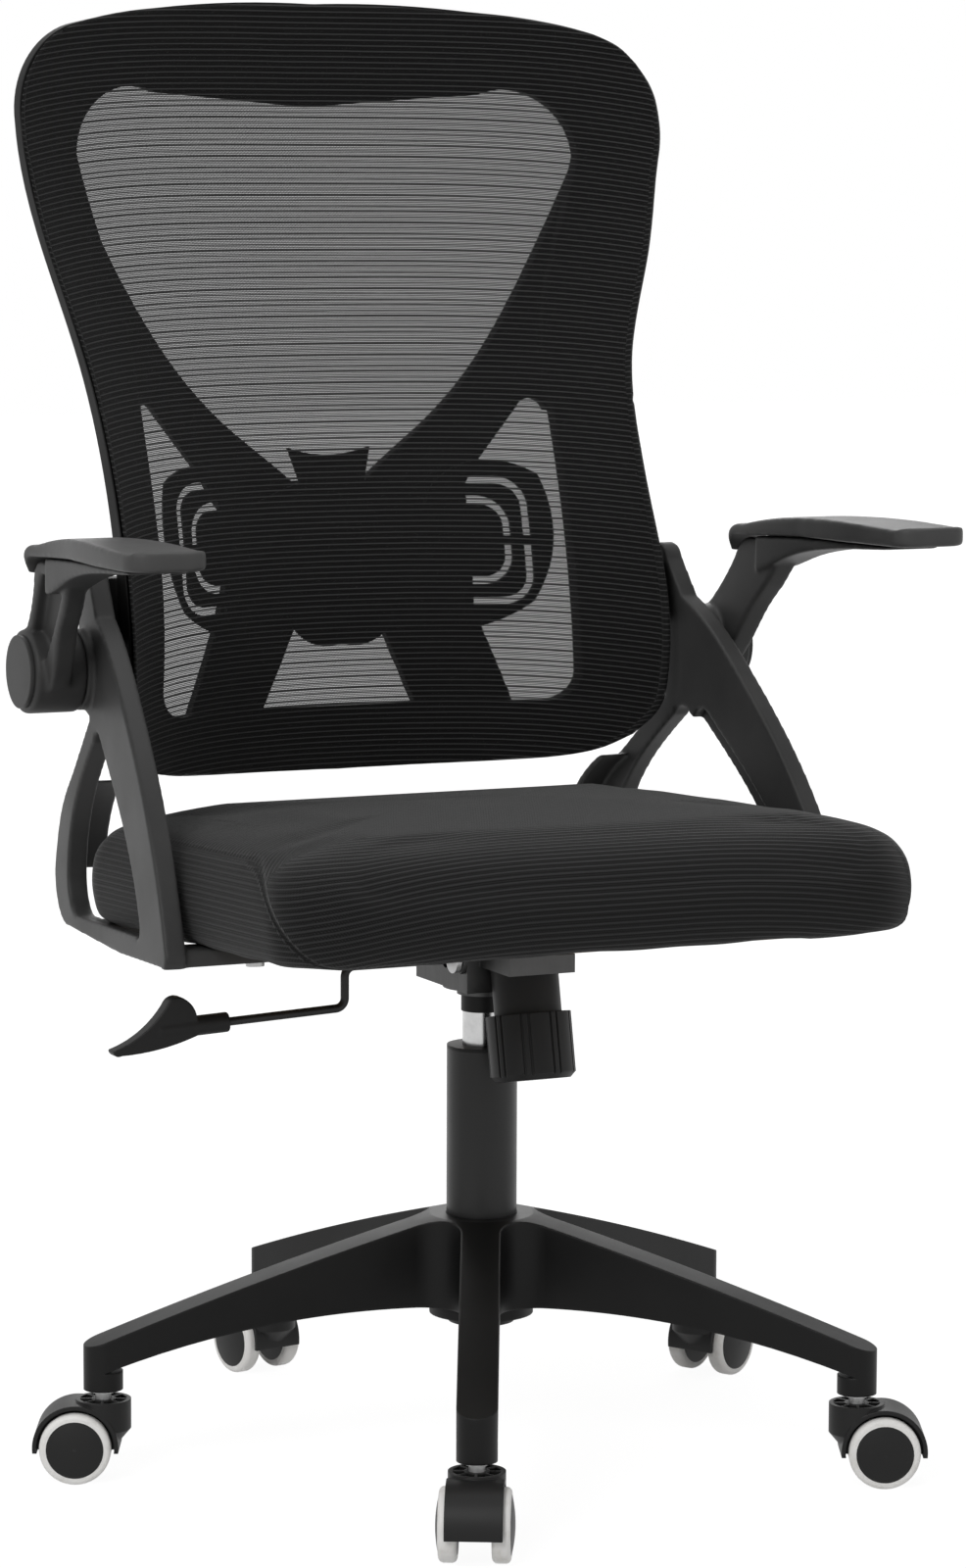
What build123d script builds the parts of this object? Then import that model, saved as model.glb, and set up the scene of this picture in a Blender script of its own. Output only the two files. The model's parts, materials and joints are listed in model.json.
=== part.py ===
from build123d import *
from math import asin, cos, radians, sin
import os

# Swivel office chair. Millimetres, +Z up, and the seat faces -Y.
# The origin is on the floor, on the column's axis.
os.makedirs("parts", exist_ok=True)

# Fits shared by all pieces
running_clearance = 0.05
press_clearance = 0.02
soft_clearance = 0.3

# Casters
wheel_diameter = 50.0
wheel_width = 12.5
wheel_boss = 3.5
wheel_core_diameter = 40.0
wheel_dome = 2.4
tread_edge_round = 3.5
caster_trail = 18.5
caster_web = 15.0
wheel_side_gap = 0.5
axle_diameter = 6.0
axle_engagement = 13.0
axle_boss_diameter = 14.0
hood_width = 38.5
hood_wall = 3.0
hood_gap = 2.0
hood_skirt = 3.5
cup_diameter = 38.6
cup_rise = 1.5
cup_depth = 20.8
cup_foot_diameter = 20.0
cup_taper = 11.0
cup_wall = 3.0
cup_pocket_depth = 3.5
cup_rib_count = 8
cup_rib_width = 1.6
stem_diameter = 11.0
stem_socket_wall = 3.0
stem_depth = 21.0
stem_grip = 24.0
stem_ring_diameter = 16.0
stem_ring_height = 2.4
swivel_gap = 6.8
caster_turns = (-2.3, 18.7, 0.7, 0.7, -17.3)

# Five-legged base
leg_count = 5
base_turn = -25.5
stem_circle_radius = 276.0
leg_width = 27.6
leg_wall = 3.6
leg_tip_drop = 9.5
leg_tip_height = 30.8
leg_arch = 10.5
leg_under_arch = 15.5
leg_root_fillet = 24.0
leg_rib_count = 4
leg_rib_width = 2.4
hub_diameter = 74.0
hub_rise = 109.0
hub_skirt = 8.0
leg_root_rise = 45.0

# Gas column
tube_diameter = 50.0
tube_wall = 1.6
tube_foot_diameter = 47.0
tube_exposed = 119.0
tube_floor = 3.0
tube_foot_drop = 6.0
guide_length = 62.0
guide_lip = 2.0
cylinder_diameter = 28.0
cylinder_wall = 2.0
cylinder_length = 198.0
cylinder_gland = 8.0
cylinder_exposed = 58.0
rod_diameter = 10.0
rod_shoulder_diameter = 18.0
rod_shoulder_height = 4.0
piston_height = 10.0
piston_above_gland = 88.0
bearing_diameter = 26.0
bearing_height = 5.0
bearing_gap = 0.1
clip_diameter = 18.0
clip_height = 2.0
dust_ring_diameter = 30.0
dust_ring_height = 12.0
release_pin_diameter = 8.0
release_pin_height = 6.0

# Tilt mechanism
housing_width = 70.0
housing_wall = 2.5
housing_front = -50.0
housing_rear = 36.0
housing_rise = 47.5
housing_height = 31.5
housing_rear_height = 13.0
nose_width = 50.0
nose_front = -98.0
nose_height = 13.0
socket_wall = 4.0
socket_flange_diameter = 56.0
socket_flange_height = 4.0
socket_neck_height = 5.0
pivot_y = -42.0
pivot_drop = 8.5
pivot_diameter = 10.0
pivot_head = 4.0
ear_thickness = 3.0
ear_gap = 0.6
ear_diameter = 20.0
plate_width = 200.0
plate_depth = 190.0
plate_thickness = 3.0
plate_corner = 18.0

# Tilt tension
tension_y = -68.8
tension_lean = 12.0
sleeve_diameter = 47.0
sleeve_wall = 3.0
sleeve_length = 36.0
knob_diameter = 59.5
knob_height = 46.0
knob_gap = 0.5
knob_recess = 5.0
knob_groove_pairs = 9
knob_groove_turn = 5.0
knob_groove_width = 1.8
knob_groove_depth = 1.2
knob_chamfer = 4.0
tension_bolt_diameter = 10.0
tension_bolt_head = 22.0
tension_bolt_head_height = 5.0
spring_wire = 4.0
spring_turns = 5
spring_diameter = 32.0

# Height lever
lever_y = -14.0
lever_rise = 8.3
lever_rod_diameter = 6.0
lever_axis_x = -22.0
rocker_length = 14.0
rocker_depth = 12.0
rocker_height = 8.0
trunnion_diameter = 5.0
trunnion_length = 4.0
lug_wall = 2.0
lug_gap = 0.2
tongue_reach = 4.0
tongue_width = 11.0
tongue_thickness = 4.0
tongue_gap = 0.5
lever_drop_x = -112.0
lever_drop = 28.5
lever_fall = 2.6
lever_bend = 7.0
lever_run = 88.0
grip_diameter = 14.0
grip_length = 52.0
grip_cover = 20.0
paddle_length = 34.5
paddle_thickness = 12.0
lever_hole_room = 2.4

# Seat
seat_width = 476.0
seat_front = -228.0
seat_rear = 186.0
seat_corner = 48.0
seat_rise = 10.7
seat_tilt = 2.6
seat_thickness = 78.0
seat_crown = 4.0
board_inset = 16.0
board_thickness = 12.0

# Side frames, drawn in a plane that turns inwards towards the rear
frame_gap = 18.0
frame_turn = 7.1
frame_thickness = 15.0
frame_rabbet_shift = 26.0
frame_rabbet_depth = 9.0
flange_depth = 22.0
flange_thickness = 7.0
tab_thickness = 12.0
tab_reach = 176.0
front_tab_y = (-56.0, -18.0)
rear_tab_y = (138.0, 168.0)
bolt_diameter = 6.0
bolt_head_diameter = 13.0
bolt_head_height = 4.0

# Arms
arm_axis_y = 163.0
arm_axis_rise = 173.0
knuckle_diameter = 60.0
knuckle_inset = 11.0
knuckle_length = 38.0
knuckle_gap = 0.4
knuckle_groove = 1.0
cap_diameter = 52.0
cap_height = 3.5
cap_plug_diameter = 20.0
cap_plug_length = 6.0
arm_pin_diameter = 16.0
arm_pin_length = 26.0
post_set = 20.0
post_width = 16.0
post_lean = 8.0
post_lean_rise = 209.0
post_pocket = 9.0
pad_gap = 0.8

# Back, a shell that curves across and down
mesh_thickness = 2.0
back_frame_depth = 11.5
spine_gap = 10.2
spine_depth = 10.0
lumbar_gap = 5.0
lumbar_thickness = 4.0
lumbar_slot_x = 100.0
lumbar_slot_rise = 250.0
lumbar_slots = ((42.0, 96.0), (29.0, 66.0))
lumbar_slot_width = 6.0
lumbar_slot_corner = 22.0
lumbar_bridge = 7.0
slider_width = 24.0
slider_height = 34.0
slider_slot_travel = 15.0
slider_clearance = 0.4
slider_knob_width = 44.0
slider_knob_depth = 8.0
lug_x = 198.0
lug_y = (162.0, 182.0)
lug_z = (191.0, 237.0)
# height over the seat, depth of the centre line, radius across, reach to each side
back_stations = (
    (69.0, 259.0, 262.0, 226.0),
    (224.0, 249.0, 256.0, 228.0),
    (309.0, 268.0, 278.0, 224.0),
    (399.0, 294.0, 325.0, 234.0),
    (489.0, 310.0, 400.0, 260.0),
    (659.0, 303.0, 490.0, 272.0),
)

# Levels and radii that follow from the sizes above
wheel_radius = wheel_diameter / 2
hood_radius = wheel_radius + hood_gap + hood_wall
hood_top = wheel_radius + hood_radius + cup_rise
boss_bottom = hood_top + swivel_gap
leg_tip_top = boss_bottom + leg_tip_height
leg_tip_under = boss_bottom + leg_tip_drop
hub_top = boss_bottom + hub_rise
leg_root_under = boss_bottom + leg_root_rise
hub_bottom = leg_root_under - hub_skirt
tube_top = hub_top + tube_exposed
tube_bottom = hub_bottom - tube_foot_drop
floor_top = tube_bottom + tube_floor
cylinder_top = tube_top + cylinder_exposed
cylinder_bottom = cylinder_top - cylinder_length
housing_bottom = tube_top + housing_rise
housing_top = housing_bottom + housing_height
front_bottom = housing_top - nose_height
pivot_z = housing_top - pivot_drop
pin_top = cylinder_top + release_pin_height
lever_z = cylinder_top + lever_rise
tip_radius = stem_circle_radius + leg_width / 2
wheel_inner = caster_web / 2 + wheel_side_gap + wheel_boss
seat_middle = (seat_front + seat_rear) / 2
seat_depth = seat_rear - seat_front
seat_level = housing_top + seat_rise
frame_outer_x = seat_width / 2 + frame_gap
knuckle_x = frame_outer_x - knuckle_inset
post_x = knuckle_x + post_set
leg_angles = [base_turn - 90 + 360 / leg_count * k for k in range(leg_count)]
far = 600.0


def rod_x(radius, left, right, y, z):
    body = Cylinder(radius, right - left, align=(Align.CENTER, Align.CENTER, Align.MIN))
    return Pos(left, y, z) * Rot(0, 90, 0) * body


def rod_y(radius, front, rear, x, z):
    body = Cylinder(radius, rear - front, align=(Align.CENTER, Align.CENTER, Align.MIN))
    return Pos(x, front, z) * Rot(-90, 0, 0) * body


def rod_z(radius, low, high, x=0, y=0):
    body = Cylinder(radius, high - low, align=(Align.CENTER, Align.CENTER, Align.MIN))
    return Pos(x, y, low) * body


def ring_z(outer, inner, low, high, x=0, y=0):
    return rod_z(outer, low, high, x, y) - rod_z(inner, low - 1, high + 1, x, y)


def block(x, y, z):
    corner = (Align.MIN, Align.MIN, Align.MIN)
    return Pos(x[0], y[0], z[0]) * Box(x[1] - x[0], y[1] - y[0], z[1] - z[0], align=corner)


def polygon(*points):
    return make_face(Polyline(*points, close=True))


def mirrored(shape):
    return shape.mirror(Plane.YZ)


def write(name, *solids):
    shape = solids[0] if len(solids) == 1 else Compound(children=list(solids))
    export_step(shape, f"parts/{name}.step")


def polar(radius, angle):
    return radius * cos(radians(angle)), radius * sin(radians(angle))


# Base
def leg_profile(lift):
    under = ThreePointArc(
        (hub_diameter / 2, leg_root_under),
        (stem_circle_radius / 2, (leg_root_under + leg_tip_under) / 2 + leg_under_arch),
        (tip_radius + 1, leg_tip_under),
    )
    over = ThreePointArc(
        (tip_radius + 1, leg_tip_top - lift),
        (stem_circle_radius / 2, (hub_top + leg_tip_top) / 2 + leg_arch - lift),
        (hub_diameter / 2, hub_top - lift),
    )
    hub = Polyline(over @ 1, (0, hub_top - lift), (0, hub_bottom), (hub_diameter / 2, hub_bottom), under @ 0)
    return make_face([under, Line(under @ 1, over @ 0), over, *hub.edges()])


def base_star():
    plan = Sketch()
    channel = Sketch()
    for angle in leg_angles:
        plan += Rot(0, 0, angle) * Pos(stem_circle_radius / 2, 0) * Rectangle(stem_circle_radius, leg_width)
        plan += Pos(*polar(stem_circle_radius, angle)) * Circle(leg_width / 2)
        start = hub_diameter / 2 + leg_wall
        end = stem_circle_radius - leg_width / 2
        groove = Rectangle(end - start, leg_width - 2 * leg_wall)
        channel += Rot(0, 0, angle) * Pos((start + end) / 2, 0) * groove
    roots = [v for v in plan.vertices() if Vector(v).length < leg_width]
    plan = fillet(roots, leg_root_fillet) + Circle(hub_diameter / 2)
    envelope = revolve(Plane.XZ * leg_profile(0), Axis.Z)
    star = extrude(plan, hub_top + 1) & envelope
    hollow = extrude(channel, hub_top) & revolve(Plane.XZ * leg_profile(leg_wall), Axis.Z)
    pitch = (stem_circle_radius - hub_diameter / 2) / (leg_rib_count + 1)
    for angle in leg_angles:
        for n in range(leg_rib_count):
            reach = hub_diameter / 2 + pitch * (n + 1)
            rib = Box(leg_rib_width, leg_width, hub_top, align=(Align.CENTER, Align.CENTER, Align.MIN))
            hollow -= Rot(0, 0, angle) * Pos(reach, 0, 0) * rib
    star -= hollow
    for angle in leg_angles:
        x, y = polar(stem_circle_radius, angle)
        star += rod_z(leg_width / 2, boss_bottom, leg_tip_under + leg_wall, x, y)
        star -= rod_z(stem_diameter / 2 + press_clearance, boss_bottom - 1, boss_bottom + stem_grip, x, y)
    return star - tube_outside(press_clearance)


def tube_outside(room):
    top = tube_diameter / 2 + room
    foot = tube_foot_diameter / 2 + room
    side = [(0, tube_bottom), (foot, tube_bottom), (top, hub_top), (top, tube_top), (0, tube_top)]
    return revolve(Plane.XZ * polygon(*side), Axis.Z)


def column_tube():
    top = tube_diameter / 2 - tube_wall
    foot = tube_foot_diameter / 2 - tube_wall
    side = [(0, floor_top), (foot, floor_top), (top, hub_top), (top, tube_top + 1), (0, tube_top + 1)]
    inside = revolve(Plane.XZ * polygon(*side), Axis.Z)
    opening = rod_z(rod_diameter / 2 + running_clearance, tube_bottom - 1, floor_top + 1)
    return tube_outside(0) - inside - opening


def column_guide():
    bore = cylinder_diameter / 2 + running_clearance
    sleeve = ring_z(tube_diameter / 2 - tube_wall - press_clearance, bore, tube_top - guide_length, tube_top)
    return sleeve + ring_z(tube_diameter / 2, bore, tube_top, tube_top + guide_lip)


def thrust_bearing():
    bore = rod_diameter / 2 + running_clearance
    return ring_z(bearing_diameter / 2, bore, floor_top, floor_top + bearing_height)


def piston_rod():
    seat = floor_top + bearing_height + bearing_gap
    low = tube_bottom - clip_height - 2 * bearing_gap - 1
    head = cylinder_bottom + piston_above_gland + cylinder_gland
    rod = rod_z(rod_diameter / 2, low, head)
    rod += rod_z(rod_shoulder_diameter / 2, seat, seat + rod_shoulder_height)
    inside = cylinder_diameter / 2 - cylinder_wall - running_clearance
    return rod + rod_z(inside, head, head + piston_height)


def column_clip():
    high = tube_bottom - bearing_gap
    return ring_z(clip_diameter / 2, rod_diameter / 2 + press_clearance, high - clip_height, high)


def gas_cylinder():
    body = rod_z(cylinder_diameter / 2, cylinder_bottom, cylinder_top)
    inside = cylinder_diameter / 2 - cylinder_wall
    body -= rod_z(inside, cylinder_bottom + cylinder_gland, cylinder_top - cylinder_gland)
    gland_top = cylinder_bottom + cylinder_gland
    body -= rod_z(rod_diameter / 2 + running_clearance, cylinder_bottom - 1, gland_top + 1)
    pin = release_pin_diameter / 2 + running_clearance
    return body - rod_z(pin, cylinder_top - cylinder_gland - 1, cylinder_top + 1)


def dust_ring():
    high = housing_bottom - socket_flange_height - socket_neck_height
    bore = cylinder_diameter / 2 + press_clearance
    return ring_z(dust_ring_diameter / 2, bore, high - dust_ring_height, high)


def release_pin():
    return rod_z(release_pin_diameter / 2, cylinder_top - cylinder_gland + 2, pin_top)


# Casters, drawn with the stem on the Z axis and the wheels trailing towards +X
def caster_place(k):
    x, y = polar(stem_circle_radius, leg_angles[k])
    return Pos(x, y, 0) * Rot(0, 0, leg_angles[k] + caster_turns[k])


def caster_hood():
    shoulder = hood_top - cup_depth
    foot = shoulder - cup_taper
    side = [(0, foot), (cup_foot_diameter / 2, foot), (cup_diameter / 2, shoulder)]
    side += [(cup_diameter / 2, hood_top), (0, hood_top)]
    hood = revolve(Plane.XZ * polygon(*side), Axis.Z)
    hood += rod_y(hood_radius, -hood_width / 2, hood_width / 2, caster_trail, wheel_radius)
    hood -= block((-far, far), (-far, far), (-far, wheel_radius - hood_skirt))
    for side in (0, 1):
        room = rod_y(wheel_radius + hood_gap, caster_web / 2, hood_width, caster_trail, wheel_radius)
        hood -= room.mirror(Plane.XZ) if side else room
    hood += rod_y(axle_boss_diameter / 2, -caster_web / 2, caster_web / 2, caster_trail, wheel_radius)
    socket = stem_diameter / 2 + stem_socket_wall
    pocket = ring_z(cup_diameter / 2 - cup_wall, socket, hood_top - cup_pocket_depth, hood_top + 1)
    for n in range(cup_rib_count):
        rib = block((0, cup_diameter), (-cup_rib_width / 2, cup_rib_width / 2), (0, hood_top + 2))
        pocket -= Rot(0, 0, 360 / cup_rib_count * n) * rib
    hood -= pocket
    hood -= rod_z(stem_diameter / 2 + running_clearance, hood_top - stem_depth, hood_top + 1)
    return hood - rod_y(axle_diameter / 2 + press_clearance, -far, far, caster_trail, wheel_radius)


def caster_axle():
    reach = wheel_inner - wheel_boss + axle_engagement
    return rod_y(axle_diameter / 2, -reach, reach, caster_trail, wheel_radius)


def wheel_core():
    radius = wheel_core_diameter / 2
    ball = (radius ** 2 + wheel_dome ** 2) / (2 * wheel_dome)
    core = rod_z(radius, 0, wheel_width + wheel_dome)
    core &= Pos(0, 0, wheel_width + wheel_dome - ball) * Sphere(ball)
    core += rod_z(axle_boss_diameter / 2, -wheel_boss, 0)
    bore = axle_diameter / 2 + running_clearance
    return core - rod_z(bore, -far, axle_engagement - wheel_boss + wheel_side_gap)


def wheel_tread():
    tread = ring_z(wheel_radius, wheel_core_diameter / 2, 0, wheel_width)
    rims = [e for e in tread.edges().filter_by(GeomType.CIRCLE) if e.radius > wheel_radius - 0.1]
    return fillet(rims, tread_edge_round)


def wheel_place(side):
    turn = -90 if side > 0 else 90
    return Pos(caster_trail, side * wheel_inner, wheel_radius) * Rot(turn, 0, 0)


def caster_stem(k):
    x, y = polar(stem_circle_radius, leg_angles[k])
    return rod_z(stem_diameter / 2, hood_top - stem_depth + 1, boss_bottom + stem_grip - 1, x, y)


def stem_ring(k):
    x, y = polar(stem_circle_radius, leg_angles[k])
    bore = stem_diameter / 2 + press_clearance
    return ring_z(stem_ring_diameter / 2, bore, boss_bottom - stem_ring_height, boss_bottom, x, y)


# Tilt mechanism
def housing_side(room, top):
    return [
        (housing_front + room, housing_bottom + room),
        (housing_rear - room, housing_bottom + room),
        (housing_rear - room, housing_bottom + housing_rear_height + top),
        (pivot_y + ear_diameter / 2, housing_top + top),
        (housing_front + room, housing_top + top),
    ]


def pan(width, side):
    return Pos(-width / 2, 0, 0) * extrude(Plane.YZ * polygon(*side), width)


def mechanism_housing():
    half = housing_width / 2
    nose = nose_width / 2
    shell = pan(housing_width, housing_side(0, 0))
    shell += block((-nose, nose), (nose_front, housing_front), (front_bottom, housing_top))
    shell -= pan(housing_width - 2 * housing_wall, housing_side(housing_wall, far))
    inner = nose - housing_wall
    length = (nose_front + housing_wall, housing_front + 2 * housing_wall)
    shell -= block((-inner, inner), length, (front_bottom + housing_wall, far))
    neck = cylinder_diameter / 2 + socket_wall
    flange_low = housing_bottom - socket_flange_height
    shell += rod_z(neck, flange_low - socket_neck_height, cylinder_top)
    shell += rod_z(socket_flange_diameter / 2, flange_low, housing_bottom + housing_wall)
    shell -= rod_z(cylinder_diameter / 2 + press_clearance, 0, cylinder_top + 1)
    shell -= rod_x(pivot_diameter / 2 + press_clearance, -far, far, pivot_y, pivot_z)
    shell += rocker_lugs()
    lever_hole = lever_rod_diameter / 2 + lever_hole_room
    shell -= rod_x(lever_hole, -half - 1, housing_wall - half + 1, lever_y, lever_z)
    return shell - tension_place() * rod_z(tension_bolt_diameter / 2 + running_clearance, -far / 4, far / 4)


def rocker_lugs():
    low = housing_bottom + housing_wall / 2
    front = lever_y - rocker_depth / 2 - lug_gap
    rear = tongue_width / 2 + lug_gap
    tall = lever_z + trunnion_diameter / 2 + lug_wall
    wide = (lever_axis_x - trunnion_diameter, lever_axis_x + trunnion_diameter)
    lugs = block(wide, (front - trunnion_length, front), (low, tall))
    lugs += block(wide, (rear, rear + trunnion_length), (low, tall))
    eye = trunnion_diameter / 2 + running_clearance
    return lugs - rod_y(eye, front - far, rear + far, lever_axis_x, lever_z)


def tilt_pin():
    reach = housing_width / 2 + ear_gap + ear_thickness + ear_gap
    pin = rod_x(pivot_diameter / 2, -reach, reach, pivot_y, pivot_z)
    for side in (-reach - pivot_head, reach):
        pin += rod_x(pivot_diameter / 2 + pivot_head, side, side + pivot_head, pivot_y, pivot_z)
    return pin


def tension_place():
    return Pos(0, tension_y, front_bottom) * Rot(-tension_lean, 0, 0)


def tension_sleeve():
    tube = rod_z(sleeve_diameter / 2, -sleeve_length, housing_height)
    tube -= rod_z(sleeve_diameter / 2 - sleeve_wall, -sleeve_length + sleeve_wall, housing_height + 1)
    tube -= rod_z(tension_bolt_diameter / 2 + running_clearance, -far, far)
    tube = tension_place() * tube
    tube -= block((-far, far), (-far, far), (front_bottom, far))
    return tube - block((-far, far), (housing_front, far), (0, far))


def tension_bolt():
    lean = radians(tension_lean)
    head = (housing_wall + tension_bolt_head / 2 * sin(lean)) / cos(lean) + bearing_gap
    shank = rod_z(tension_bolt_diameter / 2, -sleeve_length - knob_height + knob_recess + knob_chamfer, head)
    return tension_place() * (shank + rod_z(tension_bolt_head / 2, head, head + tension_bolt_head_height))


def spring_coil():
    low = -sleeve_length + sleeve_wall + spring_wire / 2 + soft_clearance
    high = -sleeve_diameter / 2 * sin(radians(tension_lean)) - spring_wire / 2 - soft_clearance
    path = Pos(0, 0, low) * Helix((high - low) / spring_turns, high - low, spring_diameter / 2)
    end = path.edges()[0]
    section = Plane(end @ 0, z_dir=end % 0) * Circle(spring_wire / 2)
    return tension_place() * sweep(section, end, is_frenet=True)


def tension_knob():
    top = -sleeve_length + knob_recess - knob_gap
    low = top - knob_height
    knob = rod_z(knob_diameter / 2, low, top)
    knob = chamfer(knob.edges().group_by(Axis.Z)[0], knob_chamfer)
    knob -= rod_z(sleeve_diameter / 2 + knob_gap, -sleeve_length - knob_gap, top + 1)
    for n in range(knob_groove_pairs):
        for shift in (-1, 1):
            turn = 360 / knob_groove_pairs * n + shift * knob_groove_turn
            width = (-knob_groove_width / 2, knob_groove_width / 2)
            cut = block((knob_diameter / 2 - knob_groove_depth, knob_diameter), width, (low - 1, top + 1))
            knob -= Rot(0, 0, turn) * cut
    knob -= rod_z(tension_bolt_diameter / 2 + running_clearance, low + knob_chamfer, top + 1)
    return tension_place() * knob


# Height lever
def lever_rocker():
    front = lever_y - rocker_depth / 2
    rear = tongue_width / 2
    half = rocker_length / 2
    tall = rocker_height / 2
    body = block((lever_axis_x - half, lever_axis_x + half), (front, rear), (lever_z - tall, lever_z + tall))
    low = pin_top + tongue_gap
    tongue = (lever_axis_x, release_pin_diameter / 2 + tongue_reach)
    body += block(tongue, (-rear, rear), (low, low + tongue_thickness))
    body += rod_y(trunnion_diameter / 2, front - trunnion_length, front, lever_axis_x, lever_z)
    body += rod_y(trunnion_diameter / 2, rear, rear + trunnion_length, lever_axis_x, lever_z)
    return body - rod_x(lever_rod_diameter / 2 + running_clearance, -far, far, lever_y, lever_z)


def lever_spot(reach):
    fall = radians(lever_fall)
    return lever_drop_x - reach * cos(fall), lever_y, lever_z - lever_drop - reach * sin(fall)


def lever_rod():
    inner = lever_axis_x + rocker_length
    start = (inner, lever_y, lever_z)
    corner = (lever_drop_x, lever_y, lever_z)
    end = lever_spot(lever_run + grip_cover)
    path = FilletPolyline(start, corner, lever_spot(0), end, radius=lever_bend)
    return sweep(Plane(start, z_dir=(-1, 0, 0)) * Circle(lever_rod_diameter / 2), path)


def lever_handle():
    grip = rod_x(grip_diameter / 2, -grip_length, 0, 0, 0)
    heel = -grip_length
    toe = heel - paddle_length
    top = ThreePointArc((heel + 28, 6), (heel + 25, 15), (heel + 20, 20))
    lobe = ThreePointArc(top @ 1, (heel + 12, 22), (heel + 6, 17))
    back = ThreePointArc(lobe @ 1, (heel - 9, 2), (toe, -10))
    tip = ThreePointArc(back @ 1, (toe + 1, -13), (toe + 6, -14))
    belly = ThreePointArc(tip @ 1, (heel - 4, -13), (heel + 28, -6))
    blade = make_face([top, lobe, back, tip, belly, Line(belly @ 1, top @ 0)])
    paddle = Pos(0, paddle_thickness / 2, 0) * extrude(Plane.XZ * blade, paddle_thickness)
    handle = grip + paddle - rod_x(lever_rod_diameter / 2 + press_clearance, -grip_cover, far, 0, 0)
    return Pos(*lever_spot(lever_run)) * Rot(0, -lever_fall, 0) * handle


# Seat, drawn from its own level and leaned back
def on_seat(shape):
    return Pos(0, 0, seat_level) * shape


def leaned(shape):
    return Rot(-seat_tilt, 0, 0) * shape


def seat_outline(inset, shift=0.0):
    corner = max(seat_corner - inset * 0.5, 8)
    outline = RectangleRounded(seat_width - 2 * inset, seat_depth - 2 * inset, corner)
    return Pos(0, seat_middle + shift) * outline


def seat_cushion():
    levels = [(0, 7, 0), (0.28, 0, 0), (0.62, 2, 1), (0.85, 13, 3), (0.97, 34, 4), (1.0, 62, 4)]
    body = loft([Pos(0, 0, seat_thickness * z) * seat_outline(inset, shift) for z, inset, shift in levels])
    crown_top = seat_thickness + seat_crown
    top = [Pos(0, 0, seat_thickness - 2) * seat_outline(46, 4), Pos(0, 0, crown_top) * seat_outline(140, 4)]
    body += loft(top)
    recess = extrude(seat_outline(board_inset - soft_clearance), board_thickness + soft_clearance)
    recess += block((-far, far), (-far, far), (-far, soft_clearance))
    return leaned(body - recess)


def plate_bolt_spots():
    x = plate_width / 2 - plate_corner
    y = plate_depth / 2 - plate_corner
    return [(sx * x, seat_middle / 2 + sy * y) for sx in (-1, 1) for sy in (-1, 1)]


def seat_board():
    board = extrude(seat_outline(board_inset), board_thickness)
    for x, y in plate_bolt_spots() + tab_bolt_spots() + [(-x, y) for x, y in tab_bolt_spots()]:
        board -= rod_z(bolt_diameter / 2 + press_clearance, -1, board_thickness - 2, x, y)
    return leaned(board)


def seat_plate():
    plate = Pos(0, seat_middle / 2) * RectangleRounded(plate_width, plate_depth, plate_corner)
    plate = extrude(plate, -plate_thickness)
    for x, y in plate_bolt_spots():
        plate -= rod_z(bolt_diameter / 2 + press_clearance, -plate_thickness - 1, 1, x, y)
    plate = leaned(plate)
    inner = housing_width / 2 + ear_gap
    for left in (inner, -inner - ear_thickness):
        ear = rod_x(ear_diameter / 2, left, left + ear_thickness, pivot_y, pivot_z - seat_level)
        web = (pivot_y - ear_diameter / 2, pivot_y + ear_diameter / 2)
        ear += block((left, left + ear_thickness), web, (pivot_z - seat_level, 0))
        plate += ear - leaned(block((-far, far), (-far, far), (-plate_thickness / 2, far)))
    return plate - rod_x(pivot_diameter / 2 + running_clearance, -far, far, pivot_y, pivot_z - seat_level)


def plate_bolts():
    low = -plate_thickness - bolt_head_height
    bolts = []
    for x, y in plate_bolt_spots():
        bolt = rod_z(bolt_head_diameter / 2, low, -plate_thickness, x, y)
        bolt += rod_z(bolt_diameter / 2, -plate_thickness, board_thickness - 3, x, y)
        bolts.append(leaned(bolt))
    return bolts


# Side frames, right side first
def frame_place():
    return Pos(frame_outer_x, 0, 0) * Rot(0, 0, frame_turn)


def frame_rear():
    return Spline((156, 139), (186, 114), (213, 92), (244, 66), (260, 40), (269, 16))


def frame_outline():
    front = Spline((-60, -1), (-40, 41), (-15, 79), (19, 119), (61, 159), (98, 190), (136, 212))
    plate_front = Line(front @ 1, (156, 239))
    plate_top = ThreePointArc(plate_front @ 1, (169, 250), (183, 241))
    plate_rear = Line(plate_top @ 1, (191, 185))
    strut = frame_rear()
    shoulder = ThreePointArc(plate_rear @ 1, (180, 151), strut @ 0)
    heel = ThreePointArc(strut @ 1, (258, -11), (229, -21))
    under = Polyline(heel @ 1, (75, -18), (-46, -10))
    toe = ThreePointArc(under @ 1, (-57, -8), front @ 0)
    return make_face([front, plate_front, plate_top, plate_rear, shoulder, strut, heel, *under.edges(), toe])


def frame_window():
    front = Spline((14, 12), (39, 51), (69, 81), (106, 111), (128, 128))
    apex = ThreePointArc(front @ 1, (138, 130), (146, 123))
    rear = Spline(apex @ 1, (190, 87), (215, 56), (227, 22))
    heel = ThreePointArc(rear @ 1, (222, 1), (200, -10))
    bar = Line(heel @ 1, (24, 1))
    toe = ThreePointArc(bar @ 1, (14, 4), front @ 0)
    return make_face([front, apex, rear, heel, bar, toe])


def side_flange():
    back = Spline((213, 87), (243, 64), (260, 40), (269, 16))
    front = Pos(-flange_thickness, 0) * back
    band = make_face([front, Line(front @ 1, back @ 1), back, Line(back @ 0, front @ 0)])
    return extrude(Plane.YZ * band, flange_depth + frame_thickness / 2)


def side_tab(y):
    outer = frame_outer_x - frame_thickness / 2 - y[1] * sin(radians(frame_turn))
    return leaned(block((tab_reach, outer), y, (-tab_thickness, 0)))


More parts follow.
